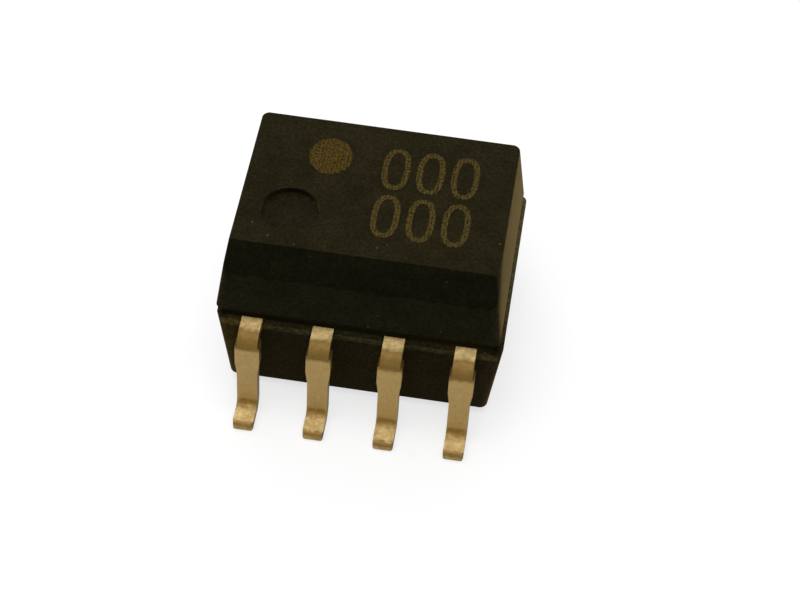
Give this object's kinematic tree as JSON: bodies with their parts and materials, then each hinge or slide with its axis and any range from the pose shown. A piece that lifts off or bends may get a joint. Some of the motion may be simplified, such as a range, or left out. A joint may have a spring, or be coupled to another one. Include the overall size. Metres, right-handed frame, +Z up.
{
  "type": "soic optocoupler chip",
  "caption": "Thick rectangular moulded chip package with a chamfered top edge and gull wing leads on both long sides; passes signals between isolated circuits by light.",
  "frame": {"origin": "centre of the footprint, on the soldering plane that the feet rest on", "axes": "+Z up from the circuit board, +X along the body from the end with leads 1 and 8 to the end with leads 4 and 5, +Y across the body from leads 1 to 4 towards leads 5 to 8"},
  "size_m": [0.0052, 0.006, 0.0034],
  "materials": {
    "mould_compound": "matt moulded epoxy, fine grained",
    "lead_plating": "satin tin plating on copper alloy",
    "silicon": "polished silicon die",
    "emitter": "polished semiconductor die",
    "clear_silicone": "clear soft silicone",
    "gold_wire": "drawn gold"
  },
  "bodies": {
    "root": {"mould_body": "mould_compound", "lead_1": "lead_plating", "lead_2": "lead_plating", "lead_3": "lead_plating", "lead_4": "lead_plating", "lead_5": "lead_plating", "lead_6": "lead_plating", "lead_7": "lead_plating", "lead_8": "lead_plating", "detector_chip": "silicon", "emitter_chip_1": "emitter", "emitter_chip_2": "emitter", "light_guide_1": "clear_silicone", "light_guide_2": "clear_silicone", "emitter_wire_1": "gold_wire", "emitter_wire_2": "gold_wire", "ground_wire": "gold_wire", "output_wire_1": "gold_wire", "output_wire_2": "gold_wire", "supply_wire": "gold_wire"}
  },
  "joints": []
}
